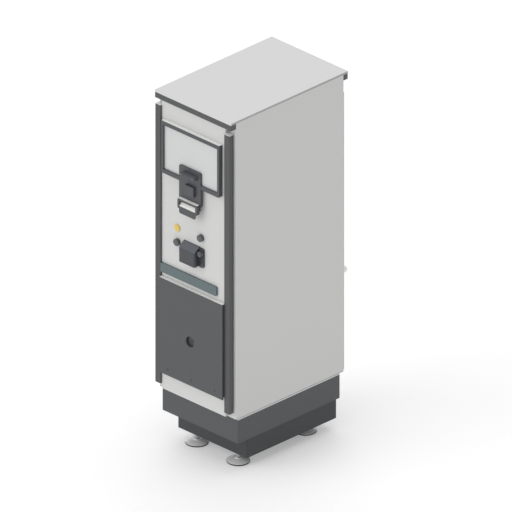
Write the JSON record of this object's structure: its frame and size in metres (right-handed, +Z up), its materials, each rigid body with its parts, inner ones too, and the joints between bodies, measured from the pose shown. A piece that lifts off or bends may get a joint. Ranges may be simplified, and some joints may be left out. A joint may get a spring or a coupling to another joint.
{
  "type": "parking pay station",
  "caption": "Floor-standing parking pay station: steel cabinet on levelling feet, hinged front door with display, note mouth, buttons and coin cup, drop-down vault flap, rear service door.",
  "frame": {"origin": "middle of the bounding box's footprint, on the floor", "axes": "+X to the right seen from the front, -Y towards the user, +Z up"},
  "size_m": [0.48, 0.777, 1.777],
  "materials": {
    "powder_light": "matt light grey powder coat",
    "powder_roof": "matt light grey powder coat",
    "powder_dark": "semi-gloss anthracite powder coat",
    "powder_base": "matt anthracite powder coat",
    "powder_toe": "matt near-black powder coat",
    "bright_steel": "turned stainless steel",
    "zinc_steel": "zinc plated",
    "seal_rubber": "matt EPDM",
    "bezel_plastic": "fine moulded texture",
    "screen_glass": "anti-glare front of an unlit screen",
    "device_plastic": "moulded ABS",
    "cup_metal": "semi-gloss cast cup",
    "mouth_opal": "opal translucent insert",
    "button_yellow": "glossy yellow cap",
    "button_dark": "glossy dark cap",
    "smoked_acrylic": "smoked acrylic",
    "lock_brass": "black chromed brass",
    "machine_grey": "textured grey enamel",
    "circuit_case": "plain sheet",
    "receipt_paper": "thermal paper"
  },
  "bodies": {
    "cabinet": {"levelling_pads": "bright_steel", "levelling_stems": "zinc_steel", "sub_base": "powder_toe", "plinth": "powder_base", "base_tray": "powder_light", "cable_gland": "device_plastic", "side_panel_left": "powder_light", "side_panel_right": "powder_light", "cabinet_headers": "powder_light", "cabinet_sills": "powder_light", "roof_panel": "powder_roof", "front_trim_bar": "powder_dark", "rear_trim_bar": "powder_dark", "door_hinge_brackets": "zinc_steel", "vault_shell": "machine_grey", "cash_box": "circuit_case", "coin_hoppers": "device_plastic", "equipment_shelf": "zinc_steel", "control_unit": "circuit_case", "power_supply": "circuit_case", "rear_hinge_brackets": "zinc_steel"},
    "front_door": {"door_leaf": "powder_light", "hinge_stile": "powder_dark", "lock_stile": "powder_dark", "door_hinge_blocks": "zinc_steel", "door_gasket": "seal_rubber", "display_bezel": "bezel_plastic", "display_glass": "screen_glass", "display_module": "device_plastic", "reader_plate": "bezel_plastic", "card_hood": "bezel_plastic", "contactless_reader": "bezel_plastic", "note_mouth": "bezel_plastic", "mouth_light": "mouth_opal", "note_reader": "device_plastic", "coin_cup": "cup_metal", "coin_chute": "circuit_case", "switch_bodies": "device_plastic", "light_bar": "smoked_acrylic", "latch_case": "zinc_steel", "receipt_printer": "device_plastic"},
    "cup_flap": {"cup_flap": "cup_metal"},
    "help_button": {"help_button": "button_yellow"},
    "cancel_button": {"cancel_button": "button_dark"},
    "receipt_button": {"receipt_button": "button_dark"},
    "coin_return_button": {"coin_return_button": "button_dark"},
    "vault_flap": {"vault_flap": "powder_dark", "flap_hinge_screws": "powder_dark", "flap_hinge_leaves": "zinc_steel", "flap_lock_cup": "powder_dark"},
    "flap_lock": {"flap_lock_plug": "lock_brass"},
    "latch_handle": {"latch_handle": "zinc_steel"},
    "upper_latch_rod": {"upper_latch_rod": "zinc_steel"},
    "lower_latch_rod": {"lower_latch_rod": "zinc_steel"},
    "paper_roll": {"paper_roll": "receipt_paper"},
    "rear_door": {"rear_door_panel": "powder_light", "rear_hinge_leaves": "zinc_steel", "fan_frame": "device_plastic"},
    "rear_knob": {"rear_knob": "bright_steel"},
    "fan_rotor": {"fan_rotor": "device_plastic"}
  },
  "joints": [
    {"name": "front_door_hinge", "type": "hinge", "parent": "cabinet", "child": "front_door", "pos_m": [-0.232, -0.3405, 0.9], "axis": [0, 0, -1], "range_deg": [0, 105]},
    {"name": "cup_flap_hinge", "type": "hinge", "parent": "front_door", "child": "cup_flap", "pos_m": [-0.015, -0.3763, 1.0518], "axis": [1, 0, 0], "range_deg": [0, 32], "stiffness_Nm_per_rad": 0.05, "springref_deg": -11.46},
    {"name": "help_button_press", "type": "slide", "parent": "front_door", "child": "help_button", "axis": [0, 1, 0], "range_m": [0, 0.003], "stiffness_N_per_m": 400},
    {"name": "cancel_button_press", "type": "slide", "parent": "front_door", "child": "cancel_button", "axis": [0, 1, 0], "range_m": [0, 0.003], "stiffness_N_per_m": 400},
    {"name": "receipt_button_press", "type": "slide", "parent": "front_door", "child": "receipt_button", "axis": [0, 1, 0], "range_m": [0, 0.003], "stiffness_N_per_m": 400},
    {"name": "coin_return_button_press", "type": "slide", "parent": "front_door", "child": "coin_return_button", "axis": [0, 1, 0], "range_m": [0, 0.003], "stiffness_N_per_m": 400},
    {"name": "vault_flap_hinge", "type": "hinge", "parent": "front_door", "child": "vault_flap", "pos_m": [-0.00625, -0.3535, 0.394], "axis": [1, 0, 0], "range_deg": [0, 90]},
    {"name": "flap_lock_turn", "type": "hinge", "parent": "vault_flap", "child": "flap_lock", "pos_m": [-0.01, -0.3255, 0.602], "axis": [0, 1, 0], "range_deg": [0, 90]},
    {"name": "latch_handle_turn", "type": "hinge", "parent": "front_door", "child": "latch_handle", "pos_m": [0.1655, -0.3185, 0.752], "axis": [0, 1, 0], "range_deg": [0, 90]},
    {"name": "upper_rod_slide", "type": "slide", "parent": "front_door", "child": "upper_latch_rod", "axis": [0, 0, 1], "range_m": [0, 0.024]},
    {"name": "lower_rod_slide", "type": "slide", "parent": "front_door", "child": "lower_latch_rod", "axis": [0, 0, -1], "range_m": [0, 0.024]},
    {"name": "paper_roll_spin", "type": "hinge", "parent": "front_door", "child": "paper_roll", "pos_m": [-0.18, -0.2695, 0.878], "axis": [1, 0, 0], "continuous": true},
    {"name": "rear_door_hinge", "type": "hinge", "parent": "cabinet", "child": "rear_door", "pos_m": [-0.234, 0.3671, 0.9], "axis": [0, 0, 1], "range_deg": [0, 110]},
    {"name": "rear_knob_turn", "type": "hinge", "parent": "rear_door", "child": "rear_knob", "pos_m": [0.216, 0.3625, 0.78], "axis": [0, -1, 0], "range_deg": [0, 90]},
    {"name": "fan_spin", "type": "hinge", "parent": "rear_door", "child": "fan_rotor", "pos_m": [0, 0.3355, 1.487], "axis": [0, 1, 0], "continuous": true}
  ],
  "couplings": [
    {"joint": "latch_handle_turn", "follows": "upper_rod_slide", "rad_per_m": 65.449},
    {"joint": "lower_rod_slide", "follows": "upper_rod_slide", "ratio": 1}
  ]
}
